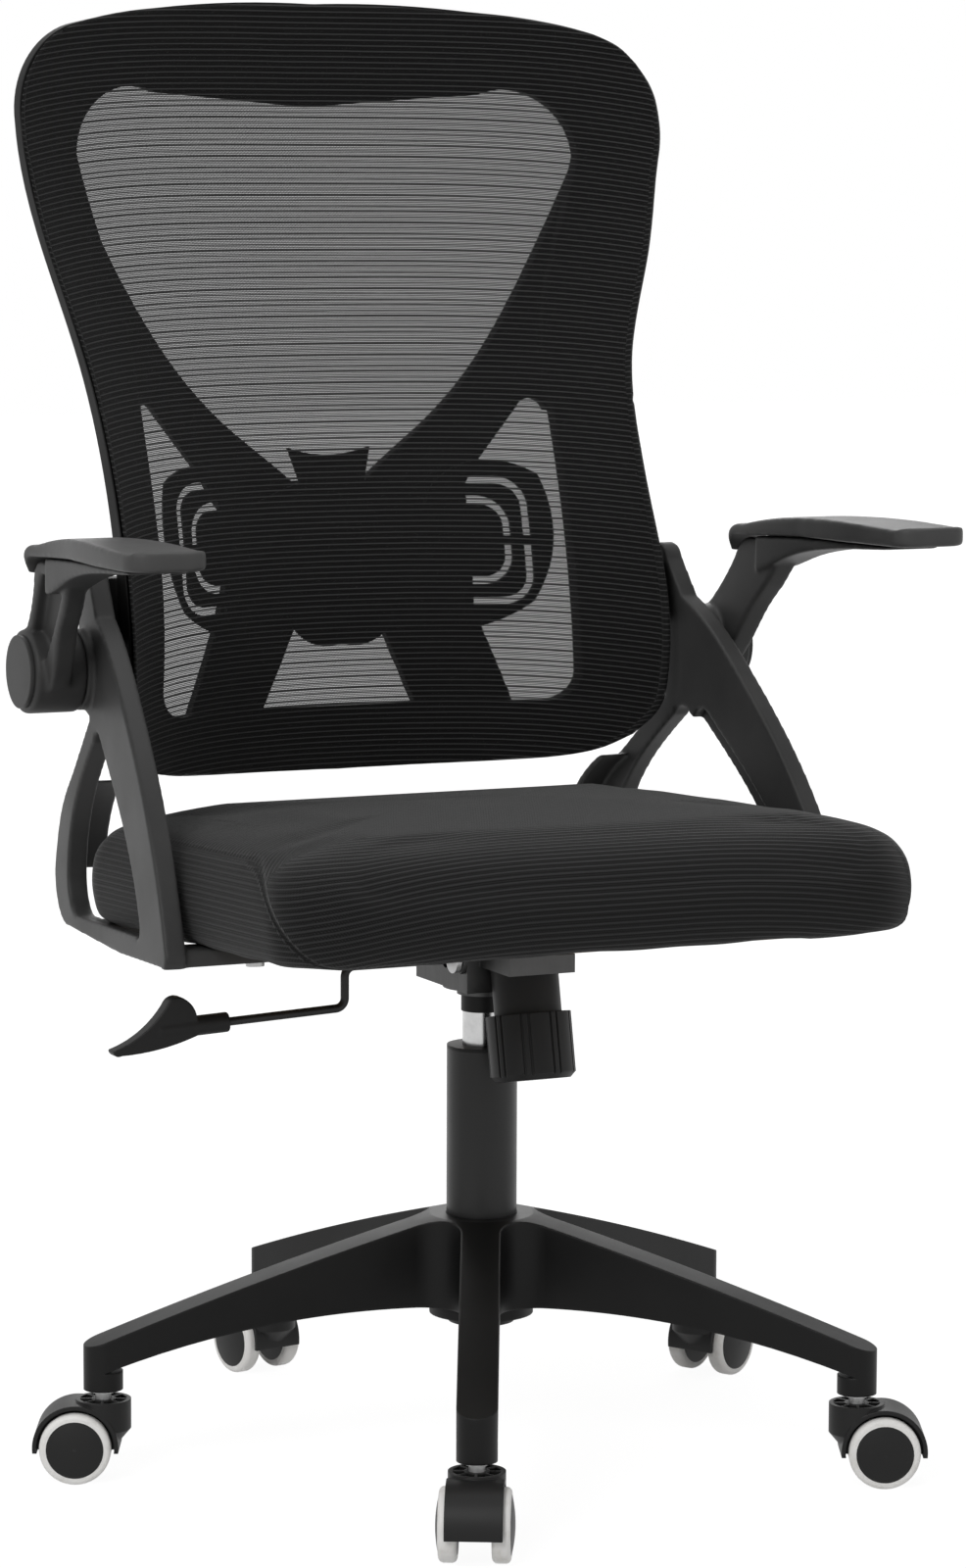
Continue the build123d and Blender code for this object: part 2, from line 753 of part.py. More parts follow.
def tab_bolt_spots():
    x = tab_reach + bolt_head_diameter
    return [(x, sum(front_tab_y) / 2), (x, sum(rear_tab_y) / 2)]


def side_frame():
    plate = extrude(Plane.YZ * frame_outline(), frame_thickness)
    window = extrude(Plane.YZ * frame_window(), frame_thickness + 2)
    plate -= Pos(-1, 0, 0) * window
    plate -= Pos(frame_rabbet_depth - frame_thickness - 2, -frame_rabbet_shift, 0) * window
    plate += Pos(-flange_depth, 0, 0) * side_flange()
    frame = frame_place() * Pos(-frame_thickness, 0, 0) * plate
    boss_start = frame_outer_x - frame_thickness / 2 - arm_axis_y * sin(radians(frame_turn))
    frame += rod_x(knuckle_diameter / 2 - knuckle_groove, boss_start, knuckle_x, arm_axis_y, arm_axis_rise)
    frame += side_tab(front_tab_y) + side_tab(rear_tab_y)
    for x, y in tab_bolt_spots():
        frame -= leaned(rod_z(bolt_diameter / 2 + press_clearance, -far / 6, far / 6, x, y))
    pin = arm_pin_diameter / 2 + press_clearance
    return frame - rod_x(pin, knuckle_x - arm_pin_length / 2, knuckle_x + 1, arm_axis_y, arm_axis_rise)


def frame_bolts():
    bolts = []
    for x, y in tab_bolt_spots():
        bolt = rod_z(bolt_head_diameter / 2, -tab_thickness - bolt_head_height, -tab_thickness, x, y)
        bolt += rod_z(bolt_diameter / 2, -tab_thickness, board_thickness - 3, x, y)
        bolts.append(leaned(bolt))
    return bolts + [mirrored(b) for b in bolts]


def arm_pin():
    half = arm_pin_length / 2
    return rod_x(arm_pin_diameter / 2, knuckle_x - half, knuckle_x + half, arm_axis_y, arm_axis_rise)


# Arms, right side first
def post_side():
    rear = Spline((176, 195), (164, 206), (148, 223), (136, 240))
    corner = ThreePointArc(rear @ 1, (129, 251), (116, 256))
    top = Line(corner @ 1, (44, 254))
    front = Spline(top @ 1, (66, 241), (80, 224), (94, 211), (118, 179), (138, 159))
    return make_face([rear, corner, top, front, Line(front @ 1, rear @ 0)])


def post_recess():
    rear = Spline((158, 197), (139, 221), (124, 239), (116, 247))
    top = Line(rear @ 1, (74, 244))
    front = Spline(top @ 1, (88, 228), (102, 214), (140, 179))
    return make_face([rear, top, front, Line(front @ 1, rear @ 0)])


def pad_plan():
    inner = Line((16, 128), (15, 20))
    waist = Spline(inner @ 1, (12, -60), (13, -116))
    inner_nose = ThreePointArc(waist @ 1, (18, -131), (31, -136))
    nose = Line(inner_nose @ 1, (53, -135))
    outer_nose = ThreePointArc(nose @ 1, (65, -130), (70, -116))
    outer = Spline(outer_nose @ 1, (67, -50), (56, 30), (50, 126))
    rear = ThreePointArc(outer @ 1, (34, 142), inner @ 0)
    return make_face([inner, waist, inner_nose, nose, outer_nose, outer, rear])


def beam_plan():
    inner = Line((21, 96), (18, -106))
    nose = Line(inner @ 1, (62, -106))
    outer = Line(nose @ 1, (46, 96))
    rear = ThreePointArc(outer @ 1, (34, 103), inner @ 0)
    return make_face([inner, nose, outer, rear])


def arm_beam():
    top = Polyline((118, 258 - pad_gap), (20, 263 - pad_gap), (-104, 265 - pad_gap))
    under = Spline((-104, 262), (-40, 258), (10, 253), (50, 245), (80, 236), (118, 234))
    side = make_face([*top.edges(), Line(top @ 1, under @ 0), under, Line(under @ 1, top @ 0)])
    return extrude(Plane.YZ * side, far) & Pos(knuckle_x, 0, 0) * extrude(beam_plan(), far)


def arm_post():
    post = Pos(post_x, 0, 0) * extrude(Plane.YZ * post_side(), post_width)
    recess = Pos(post_x + post_width - post_pocket, 0, 0) * extrude(Plane.YZ * post_recess(), post_width)
    middle = Pos(post_x + post_width / 2, 0, post_lean_rise)
    return middle * Rot(0, post_lean, 0) * middle.inverse() * (post - recess)


def arm_support():
    inner = knuckle_x + knuckle_gap
    outer = inner + knuckle_length
    arm = arm_post() + arm_beam()
    arm += rod_x(knuckle_diameter / 2, inner, outer, arm_axis_y, arm_axis_rise)
    pin_reach = knuckle_x + arm_pin_length / 2 + 1
    arm -= rod_x(arm_pin_diameter / 2 + running_clearance, inner - 1, pin_reach, arm_axis_y, arm_axis_rise)
    plug = cap_plug_diameter / 2 + press_clearance
    return arm - rod_x(plug, outer - cap_plug_length - 1, outer + 1, arm_axis_y, arm_axis_rise)


def pivot_cap():
    outer = knuckle_x + knuckle_gap + knuckle_length
    cap = rod_x(cap_diameter / 2, outer, outer + cap_height, arm_axis_y, arm_axis_rise)
    return cap + rod_x(cap_plug_diameter / 2, outer - cap_plug_length, outer, arm_axis_y, arm_axis_rise)


def arm_pad():
    curl = ThreePointArc((138.5, 244), (131, 254), (116, 258))
    bottom = Polyline(curl @ 1, (20, 263), (-140, 265.5))
    nose = ThreePointArc(bottom @ 1, (-140, 272), (-124, 277.5))
    top = Spline(nose @ 1, (-40, 279), (50, 275), (110, 266.5))
    shoulder = ThreePointArc(top @ 1, (134, 259), (143, 244))
    rear = Line(shoulder @ 1, curl @ 0)
    side = make_face([curl, *bottom.edges(), nose, top, shoulder, rear])
    return extrude(Plane.YZ * side, far) & Pos(knuckle_x, 0, 0) * extrude(pad_plan(), far)


# Back, as pieces of a shell that curves across and down
def back_shell(front, rear):
    sections = []
    for level, depth, radius, reach in back_stations:
        spread = asin(reach / radius)

        def spot(distance, turn):
            return distance * sin(turn), depth - radius + distance * cos(turn)

        near, off = radius + front, radius + rear
        inner = ThreePointArc(spot(near, -spread), spot(near, 0), spot(near, spread))
        outer = ThreePointArc(spot(off, spread), spot(off, 0), spot(off, -spread))
        face = make_face([inner, Line(inner @ 1, outer @ 0), outer, Line(outer @ 1, inner @ 0)])
        sections.append(Pos(0, 0, level) * face)
    return loft(sections)


def upright(sketch):
    return extrude(Plane.XZ * sketch, far, dir=(0, 1, 0))


def symmetric(*half):
    other = [edge.mirror(Plane.YZ) for edge in half]
    return make_face([*half, *other])


def back_outline():
    return symmetric(
        ThreePointArc((0, 648), (110, 645), (200, 631)),
        ThreePointArc((200, 631), (240, 607), (254, 559)),
        Spline((254, 559), (240, 474), (217, 384), (211, 304), (213, 209), (212, 149)),
        ThreePointArc((212, 149), (197, 108), (160, 89)),
        ThreePointArc((160, 89), (80, 82), (0, 80)),
    )


def back_window():
    return symmetric(
        Spline((0, 572), (60, 577), (130, 582)),
        ThreePointArc((130, 582), (186, 572), (202, 536)),
        Spline((202, 536), (184, 473), (168, 409), (166, 349), (166, 219), (168, 156)),
        ThreePointArc((168, 156), (162, 137), (144, 130)),
        Line((144, 130), (0, 128)),
    )


def spine_outline():
    return symmetric(
        Line((0, 295), (30, 295)),
        Spline((30, 295), (58, 318), (84, 339), (110, 365), (132, 393), (153, 426), (176, 468), (214, 550)),
        Line((214, 550), (220, 536)),
        Line((220, 536), (198, 470)),
        Line((198, 470), (180, 346)),
        Line((180, 346), (166, 346)),
        ThreePointArc((166, 346), (157, 355), (146, 349)),
        Line((146, 349), (113, 307)),
        Line((113, 307), (84, 259)),
        Line((84, 259), (104, 195)),
        Line((104, 195), (134, 119)),
        Line((134, 119), (66, 119)),
        Line((66, 119), (34, 191)),
        Line((34, 191), (0, 191)),
    )


def spine_offset():
    return mesh_thickness + soft_clearance + spine_gap


def back_frame():
    front = mesh_thickness + soft_clearance
    ring = back_shell(front, front + back_frame_depth) & upright(back_outline() - back_window())
    spine = back_shell(spine_offset(), spine_offset() + spine_depth)
    spine &= upright(spine_outline() - slider_slot())
    lug = block((lug_x, frame_outer_x), lug_y, lug_z)
    lug -= frame_place() * block((-frame_thickness, far), (-far, far), (-far, far))
    return ring + spine + lug + mirrored(lug)


def slider_middle():
    return (back_stations[1][0] + back_stations[2][0]) / 2 - 12


def slider_slot():
    tall = slider_height + 2 * slider_slot_travel + 2 * slider_clearance
    return Pos(0, slider_middle()) * Rectangle(slider_width + 2 * slider_clearance, tall)


def lumbar_slider():
    front = lumbar_gap + lumbar_thickness + running_clearance
    rear = spine_offset() + spine_depth + slider_clearance * 4
    stem_outline = Pos(0, slider_middle()) * Rectangle(slider_width, slider_height)
    stem = back_shell(front, rear) & upright(stem_outline)
    knob = upright(Pos(0, slider_middle()) * RectangleRounded(slider_knob_width, slider_height, 6))
    return stem + (back_shell(rear, rear + slider_knob_depth) & knob)


def back_mesh():
    return back_shell(0, mesh_thickness) & upright(back_outline())


def lumbar_outline():
    wing = symmetric(
        ThreePointArc((0, 314), (18, 316), (33, 320)),
        Line((33, 320), (26, 295)),
        Line((26, 295), (70, 279)),
        ThreePointArc((70, 279), (110, 309), (150, 299)),
        ThreePointArc((150, 299), (155, 251), (140, 205)),
        ThreePointArc((140, 205), (122, 193), (100, 185)),
        Line((100, 185), (44, 199)),
        ThreePointArc((44, 199), (30, 179), (0, 175)),
    )
    middle = Pos(lumbar_slot_x, lumbar_slot_rise)
    for reach, height in lumbar_slots:
        slot = RectangleRounded(2 * reach, height, lumbar_slot_corner)
        inner_corner = lumbar_slot_corner - lumbar_slot_width
        inner = (2 * (reach - lumbar_slot_width), height - 2 * lumbar_slot_width)
        slot -= RectangleRounded(*inner, inner_corner)
        slot &= Pos(reach, 0) * Rectangle(2 * reach, height)
        slot -= Pos(reach, 0) * Rectangle(2 * lumbar_slot_width + 2, lumbar_bridge)
        slot = middle * slot
        wing -= slot + slot.mirror(Plane.YZ)
    return wing


def lumbar_pad():
    shell = back_shell(lumbar_gap, lumbar_gap + lumbar_thickness)
    return shell & upright(lumbar_outline())


write("base_star", base_star())
write("column_tube", column_tube())
write("column_guide", column_guide())
write("thrust_bearing", thrust_bearing())
write("piston_rod", piston_rod())
write("column_clip", column_clip())
write("gas_cylinder", gas_cylinder())
write("dust_ring", dust_ring())
write("release_pin", release_pin())
write("caster_stems", *[caster_stem(k) for k in range(leg_count)])
write("caster_stem_rings", *[stem_ring(k) for k in range(leg_count)])
for k in range(leg_count):
    place = caster_place(k)
    write(f"caster_{k + 1}_hood", place * caster_hood())
    write(f"caster_{k + 1}_axle", place * caster_axle())
    for name, side in (("left", 1), ("right", -1)):
        spot = place * wheel_place(side)
        write(f"caster_{k + 1}_{name}_wheel", spot * wheel_core(), spot * wheel_tread())
write("mechanism_housing", mechanism_housing())
write("tilt_pin", tilt_pin())
write("tension_sleeve", tension_sleeve())
write("tension_bolt", tension_bolt())
write("tension_spring", spring_coil())
write("tension_knob", tension_knob())
write("lever_rocker", lever_rocker())
write("lever_rod", lever_rod())
write("lever_handle", lever_handle())
write("seat_cushion", on_seat(seat_cushion()))
write("seat_board", on_seat(seat_board()))
write("seat_plate", on_seat(seat_plate()))
write("plate_bolts", *[on_seat(bolt) for bolt in plate_bolts()])
write("right_side_frame", on_seat(side_frame()))
write("left_side_frame", on_seat(mirrored(side_frame())))
write("frame_bolts", *[on_seat(bolt) for bolt in frame_bolts()])
write("arm_pins", on_seat(arm_pin()), on_seat(mirrored(arm_pin())))
for name, turn in (("right", lambda s: s), ("left", mirrored)):
    write(f"{name}_arm_support", on_seat(turn(arm_support())))
    write(f"{name}_arm_pad", on_seat(turn(arm_pad())))
    write(f"{name}_pivot_cap", on_seat(turn(pivot_cap())))
write("back_frame", on_seat(back_frame()))
write("back_mesh", on_seat(back_mesh()))
write("lumbar_pad", on_seat(lumbar_pad()))
write("lumbar_slider", on_seat(lumbar_slider()))
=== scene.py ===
import bpy
import json
from math import cos, exp, hypot, pi, radians, sin
from mathutils import Matrix, Vector
from mathutils.bvhtree import BVHTree


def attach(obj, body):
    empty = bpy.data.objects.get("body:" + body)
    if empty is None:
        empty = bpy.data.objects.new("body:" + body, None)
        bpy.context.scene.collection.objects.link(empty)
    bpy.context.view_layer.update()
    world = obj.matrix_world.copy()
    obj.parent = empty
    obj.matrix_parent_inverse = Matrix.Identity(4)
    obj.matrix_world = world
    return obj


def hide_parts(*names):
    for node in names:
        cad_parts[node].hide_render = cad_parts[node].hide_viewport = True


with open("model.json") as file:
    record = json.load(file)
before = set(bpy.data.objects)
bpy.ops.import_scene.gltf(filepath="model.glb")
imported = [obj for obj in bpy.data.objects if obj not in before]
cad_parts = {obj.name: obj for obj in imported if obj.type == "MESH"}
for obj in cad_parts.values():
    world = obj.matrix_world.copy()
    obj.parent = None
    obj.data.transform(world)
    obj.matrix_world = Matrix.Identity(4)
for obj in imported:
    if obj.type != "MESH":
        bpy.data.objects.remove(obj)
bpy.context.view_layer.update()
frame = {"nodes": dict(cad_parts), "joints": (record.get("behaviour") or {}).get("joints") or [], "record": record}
nodes = frame["nodes"]
scene = bpy.context.scene
print("frame loaded:", len(nodes), "nodes")

# camera and lamps
view = {
    "place": (-1.4855, -3.1857, 0.912), "turn": -25.0, "pitch": 82.97, "roll": 0.20,
    "lens": 115.6, "sensor": 36, "clip": (0.05, 60),
}
lamps = {
    "keyLamp": {"place": (-2.6, -2.2, 2.6), "target": (0, 0, 0.55), "size": 1.8, "watts": 74},
    "fillLamp": {"place": (2.4, -2.6, 1.4), "target": (0, 0, 0.5), "size": 2.2, "watts": 12},
    "topLamp": {"place": (0.1, 0.4, 3.2), "target": (0, 0, 0.4), "size": 2.0, "watts": 24},
    "rearLamp": {"place": (1.2, 2.8, 1.8), "target": (0, 0, 0.6), "size": 1.6, "watts": 16},
}


def aim(spot, target):
    return (Vector(target) - Vector(spot)).to_track_quat("-Z", "Y").to_euler()


def makeCamera():
    data = bpy.data.cameras.new("photoCamera")
    data.lens = view["lens"]
    data.sensor_width = view["sensor"]
    data.clip_start, data.clip_end = view["clip"]
    camera = bpy.data.objects.new("photoCamera", data)
    turned = Matrix.Rotation(radians(view["turn"]), 4, "Z")
    turned = turned @ Matrix.Rotation(radians(view["pitch"]), 4, "X")
    turned = turned @ Matrix.Rotation(radians(view["roll"]), 4, "Z")
    camera.matrix_world = Matrix.Translation(view["place"]) @ turned
    scene.collection.objects.link(camera)
    scene.camera = camera


def addLamp(name, look):
    data = bpy.data.lights.new(name, "AREA")
    data.shape = "DISK"
    data.size = look["size"]
    data.energy = look["watts"]
    lamp = bpy.data.objects.new(name, data)
    lamp.location = look["place"]
    lamp.rotation_euler = aim(look["place"], look["target"])
    scene.collection.objects.link(lamp)


makeCamera()
for lampName, lampLook in lamps.items():
    addLamp(lampName, lampLook)
scene.view_settings.view_transform = "Standard"
print("camera and lamps placed")


# shader expressions: a Wire holds one socket of a material's tree
class Wire:
    def __init__(self, tree, socket=None):
        self.tree, self.socket = tree, socket

    def add(self, kind, settings=None, values=None, out=0):
        made = self.tree.nodes.new(kind)
        for key, value in (settings or {}).items():
            setattr(made, key, value)
        for key, value in (values or {}).items():
            if isinstance(value, Wire):
                self.tree.links.new(value.socket, made.inputs[key])
            else:
                made.inputs[key].default_value = value
        return Wire(self.tree, made.outputs[out] if len(made.outputs) else None)

    def maths(self, operation, first, second=0.0):
        return self.add("ShaderNodeMath", {"operation": operation}, {0: first, 1: second})

    def __add__(self, other):
        return self.maths("ADD", self, other)

    def __radd__(self, other):
        return self.maths("ADD", other, self)

    def __sub__(self, other):
        return self.maths("SUBTRACT", self, other)

    def __rsub__(self, other):
        return self.maths("SUBTRACT", other, self)

    def __mul__(self, other):
        return self.maths("MULTIPLY", self, other)

    def __rmul__(self, other):
        return self.maths("MULTIPLY", other, self)

    def __truediv__(self, other):
        return self.maths("DIVIDE", self, other)

    def __rtruediv__(self, other):
        return self.maths("DIVIDE", other, self)

    def most(self, other):
        return self.maths("MAXIMUM", self, other)

    def size(self):
        return self.maths("ABSOLUTE", self)

    def waved(self):
        return self.maths("SINE", self)

    def share(self):
        return self.maths("FRACT", self)

    def ramped(self, low, high):
        values = {"Value": self, "From Min": low, "From Max": high, "To Min": 0.0, "To Max": 1.0}
        return self.add("ShaderNodeMapRange", {"interpolation_type": "SMOOTHSTEP"}, values)

    def mixed(self, first, second):
        settings = {"data_type": "RGBA", "blend_type": "MIX"}
        return self.add("ShaderNodeMix", settings, {"Factor": self, 6: first, 7: second}, out=2)

    def noise(self, scale, detail=3.0, rough=0.5):
        values = {"Vector": self, "Scale": scale, "Detail": detail, "Roughness": rough}
        return self.add("ShaderNodeTexNoise", {}, values)

    def axis(self, index):
        return self.add("ShaderNodeSeparateXYZ", {}, {0: self}, out=index)

    def bumped(self, depth, strength, normal=None):
        values = {"Height": self, "Distance": depth, "Strength": strength}
        if normal:
            values["Normal"] = normal
        return self.add("ShaderNodeBump", {}, values)


def grey(level, warm=0.0):
    return (level * (1 + warm), level, level * (1 - warm), 1.0)


def blankMaterial(name):
    material = bpy.data.materials.new(name)
    material.use_nodes = True
    material.node_tree.nodes.clear()
    return material, Wire(material.node_tree)


def finishMaterial(start, values):
    shader = start.add("ShaderNodeBsdfPrincipled", {}, values)
    start.add("ShaderNodeOutputMaterial", {}, {"Surface": shader})


def place(start):  # object coordinates, in metres
    return start.add("ShaderNodeTexCoord", {}, {}, out=3)


def stored(start, name):
    return start.add("ShaderNodeAttribute", {"attribute_name": name}, {}, out=2)


# edges for rubbed wear and painted edge highlights: where the rounded normal leans away from the flat one
edgeLook = {"samples": 6, "leanFrom": 0.004, "leanFull": 0.12}


def softEdges(start, radius):
    return start.add("ShaderNodeBevel", {"samples": edgeLook["samples"]}, {"Radius": radius})


def edgeWearAndHighlight(start, radius):
    soft = softEdges(start, radius)
    sharp = start.add("ShaderNodeNewGeometry", {}, {}, out=1)
    turned = start.add("ShaderNodeVectorMath", {"operation": "DOT_PRODUCT"}, {0: soft, 1: sharp}, out=1)
    return soft, (1.0 - turned).ramped(edgeLook["leanFrom"], edgeLook["leanFull"])


# moulded plastics: grain, cloudy handling marks, and paler edges that are partly rubbed wear and partly a painted
# highlight
plastics = {
    "base_plastic": {
        "shade": 0.0055, "rough": 0.40, "grain": 0.12, "wearAndHighlight": 0.45, "edge": 0.0022, "gloss": 0.17,
    },
    "frame_plastic": {
        "shade": 0.034, "rough": 0.43, "grain": 0.25, "wearAndHighlight": 0.60, "edge": 0.0022, "gloss": 0.20,
    },
    "pad_plastic": {
        "shade": 0.050, "rough": 0.43, "grain": 0.22, "wearAndHighlight": 0.30, "edge": 0.0022, "gloss": 0.24,
    },
    "back_plastic": {
        "shade": 0.0045, "rough": 0.52, "grain": 0.12, "wearAndHighlight": 0.10, "edge": 0.0030, "gloss": 0.12,
    },
    "control_plastic": {
        "shade": 0.0085, "rough": 0.44, "grain": 0.16, "wearAndHighlight": 0.35, "edge": 0.0012, "gloss": 0.20,
    },
    "caster_plastic": {
        "shade": 0.0080, "rough": 0.42, "grain": 0.20, "wearAndHighlight": 0.30, "edge": 0.0012, "gloss": 0.24,
    },
    "column_plastic": {
        "shade": 0.0060, "rough": 0.45, "grain": 0.10, "wearAndHighlight": 0.15, "edge": 0.0006, "gloss": 0.20,
    },
}
plasticMarks = {"cloud": 9.0, "grain": 1500.0, "scuff": 70.0, "depth": 0.00025}  # noise scales, bump depth


def plasticMaterial(name, look):
    material, start = blankMaterial(name)
    spot = place(start)
    cloud = spot.noise(plasticMarks["cloud"], 5.0, 0.6).ramped(0.35, 0.7)
    grain = spot.noise(plasticMarks["grain"], 2.0, 0.5)
    scuff = spot.noise(plasticMarks["scuff"], 6.0, 0.7).ramped(0.55, 0.75)
    soft, edgeMask = edgeWearAndHighlight(start, look["edge"])
    shade = cloud.mixed(grey(look["shade"] * 0.82), grey(look["shade"] * 1.2, 0.01))
    # paler edges: partly rubbed wear, partly a painted highlight along each edge
    wornAndHighlit = edgeMask * (0.4 + scuff * 0.6) * look["wearAndHighlight"]
    colour = wornAndHighlit.mixed(shade, grey(look["shade"] * 2.6 + 0.02, 0.015))
    rough = look["rough"] + cloud * 0.10 + grain * 0.06 - edgeMask * 0.06
    normal = grain.bumped(plasticMarks["depth"], look["grain"], soft)
    values = {"Base Color": colour, "Roughness": rough, "Normal": normal}
    finishMaterial(start, {**values, "Specular IOR Level": look["gloss"]})
    return material


# metals: worn patches and fine drawn streaks
metals = {
    "plated_steel": {"shade": 0.52, "rough": 0.34, "metal": 1.0, "streak": 0.10},
    "mechanism_steel": {"shade": 0.085, "rough": 0.38, "metal": 1.0, "streak": 0.16},
    "chrome": {"shade": 0.52, "rough": 0.14, "metal": 1.0, "streak": 0.10},
}
metalMarks = {"patch": 45.0, "streak": 900.0, "drawn": 0.04, "edge": 0.0006, "depth": 0.0001}


def metalMaterial(name, look):
    material, start = blankMaterial(name)
    spot = place(start)
    patch = spot.noise(metalMarks["patch"], 5.0, 0.65).ramped(0.3, 0.7)
    drawn = {"Vector": spot, "Scale": (1.0, 1.0, metalMarks["drawn"])}
    streak = start.add("ShaderNodeMapping", {}, drawn).noise(metalMarks["streak"], 2.0, 0.5)
    soft, edgeMask = edgeWearAndHighlight(start, metalMarks["edge"])
    colour = patch.mixed(grey(look["shade"] * 0.86), grey(look["shade"] * 1.08))
    rough = look["rough"] + patch * look["streak"] * 0.6 + streak * look["streak"] - edgeMask * 0.05
    normal = streak.bumped(metalMarks["depth"], look["streak"], soft)
    values = {"Base Color": colour, "Roughness": rough, "Normal": normal, "Metallic": look["metal"]}
    finishMaterial(start, values)
    return material


# satin paint on steel, with a faint orange peel
paints = {
    "column_paint": {"shade": 0.009, "rough": 0.36},
    "lever_black": {"shade": 0.008, "rough": 0.34},
}
paintMarks = {"peel": 420.0, "cloud": 12.0, "edge": 0.0008, "depth": 0.0004, "gloss": 0.3}


def paintedMaterial(name, look):
    material, start = blankMaterial(name)
    spot = place(start)
    peel = spot.noise(paintMarks["peel"], 2.0, 0.4)
    cloud = spot.noise(paintMarks["cloud"], 4.0, 0.6).ramped(0.35, 0.7)
    soft, edgeMask = edgeWearAndHighlight(start, paintMarks["edge"])
    shade = cloud.mixed(grey(look["shade"] * 0.85), grey(look["shade"] * 1.15))
    # paler edges: partly rubbed wear, partly a painted highlight along each edge
    colour = (edgeMask * 0.3).mixed(shade, grey(look["shade"] * 3 + 0.02))
    normal = peel.bumped(paintMarks["depth"], 0.12, soft)
    values = {"Base Color": colour, "Roughness": look["rough"] + cloud * 0.08, "Normal": normal}
    finishMaterial(start, {**values, "Specular IOR Level": paintMarks["gloss"]})
    return material


# seat board: grain on the faces and plies along the edge
plywood = {
    "pale": (0.52, 0.38, 0.23, 1), "dark": (0.30, 0.20, 0.11, 1), "plyShade": (0.25, 0.16, 0.09, 1),
    "plyPitch": 0.003, "grain": 160.0, "grainRun": 0.08, "depth": 0.0006,
}


def plywoodMaterial(name, look):
    material, start = blankMaterial(name)
    spot = place(start)
    drawn = {"Vector": spot, "Scale": (1.0, look["grainRun"], 1.0)}
    grain = start.add("ShaderNodeMapping", {}, drawn).noise(look["grain"], 6.0, 0.6)
    plies = (spot.axis(2) * (2 * pi / look["plyPitch"])).waved().ramped(-0.4, 0.4)
    colour = grain.mixed(look["dark"], look["pale"])
    colour = (plies * 0.25).mixed(colour, look["plyShade"])
    normal = grain.bumped(look["depth"], 0.2)
    finishMaterial(start, {"Base Color": colour, "Roughness": 0.7 + grain * 0.1, "Normal": normal})
    return material


# castor wheels: a black core and a white tread that has picked up some dirt
wheel = {
    "coreRadius": 0.0200, "coreGrain": 0.25, "clean": (0.92, 0.91, 0.89, 1), "dirty": (0.74, 0.72, 0.68, 1),
    "dirt": 60.0, "fine": 900.0, "edge": 0.0015, "depth": 0.0002,
}


def treadMaterial(name, look):
    material, start = blankMaterial(name)
    spot = place(start)
    dirt = spot.noise(look["dirt"], 6.0, 0.65).ramped(0.5, 0.8)
    fine = spot.noise(look["fine"], 2.0, 0.5)
    soft = softEdges(start, look["edge"])
    colour = dirt.mixed(look["clean"], look["dirty"])
    normal = fine.bumped(look["depth"], 0.15, soft)
    finishMaterial(start, {"Base Color": colour, "Roughness": 0.5 + dirt * 0.12, "Normal": normal})
    return material


# fabrics read the values that each piece stores: across its ribs, along them, and from its seam or edge
seatWeave = {
    "ribPitch": 0.0040, "ribShare": 0.22, "ribWander": 0.10, "band": 0.0048, "rib": 0.030,
    "stitch": 0.0019, "slant": 0.8, "lane": 0.8, "fuzz": 2200.0, "cloud": 14.0, "depth": 0.0009,
    "seamStitch": 0.0045, "threadPlace": 0.0022, "threadWidth": 0.0009,
    "fold": (0.0004, 0.0022), "foldPaintedShade": 0.003,
}


def seatMaterial(name, look):
    material, start = blankMaterial(name)
    spot = place(start)
    across = stored(start, "ribs")
    along = stored(start, "along")
    seam = stored(start, "seam")
    wander = (spot.noise(30.0, 2.0, 0.5) - 0.5) * look["ribWander"]
    phase = (across / look["ribPitch"] + wander).share()
    rib = 1.0 - (phase - 0.5).size().ramped(look["ribShare"] * 0.35, look["ribShare"])
    slant = (along + across * look["slant"]) * (2 * pi / look["stitch"])
    lane = across * (2 * pi / (look["stitch"] * look["lane"]))
    knit = slant.waved().ramped(-0.6, 0.9) * lane.waved().ramped(-1.0, 0.6)
    fuzz = spot.noise(look["fuzz"], 2.0, 0.6)
    cloud = spot.noise(look["cloud"], 4.0, 0.6).ramped(0.3, 0.7)
    stitched = (along * (2 * pi / look["seamStitch"])).waved().ramped(-0.3, 0.5)
    beside = (seam.size() - look["threadPlace"]).size()
    thread = (1.0 - beside.ramped(0.0, look["threadWidth"])) * stitched
    fold = 1.0 - seam.size().ramped(*look["fold"])
    colour = (knit * 0.9 + fuzz * 0.2).mixed(grey(look["band"] * 0.35), grey(look["band"] * 3.2))
    colour = (rib * (0.7 + fuzz * 0.5)).mixed(colour, grey(look["rib"], -0.01))
    colour = (cloud * 0.12).mixed(colour, grey(look["band"] * 2.4))
    # painted shade: the fabric darkens in the crease along the seam
    colour = fold.mixed(colour, grey(look["foldPaintedShade"]))
    colour = (thread * 0.6).mixed(colour, grey(look["rib"] * 1.1))
    height = rib * 0.7 + knit * 0.22 + fuzz * 0.10 - fold * 1.2 + thread * 0.5
    normal = height.bumped(look["depth"], 0.7)
    finishMaterial(start, {
        "Base Color": colour, "Roughness": 0.82 + fuzz * 0.1, "Normal": normal,
        "Sheen Weight": 0.14, "Sheen Roughness": 0.45, "Specular IOR Level": 0.15,
    })
    return material


meshWeave = {
    "ribPitch": 0.0041, "ribShare": 0.15, "ribWander": 0.14, "band": 0.0042, "rib": 0.046,
    "hole": 0.00120, "open": 0.53, "fuzz": 2400.0, "depth": 0.0006,
}


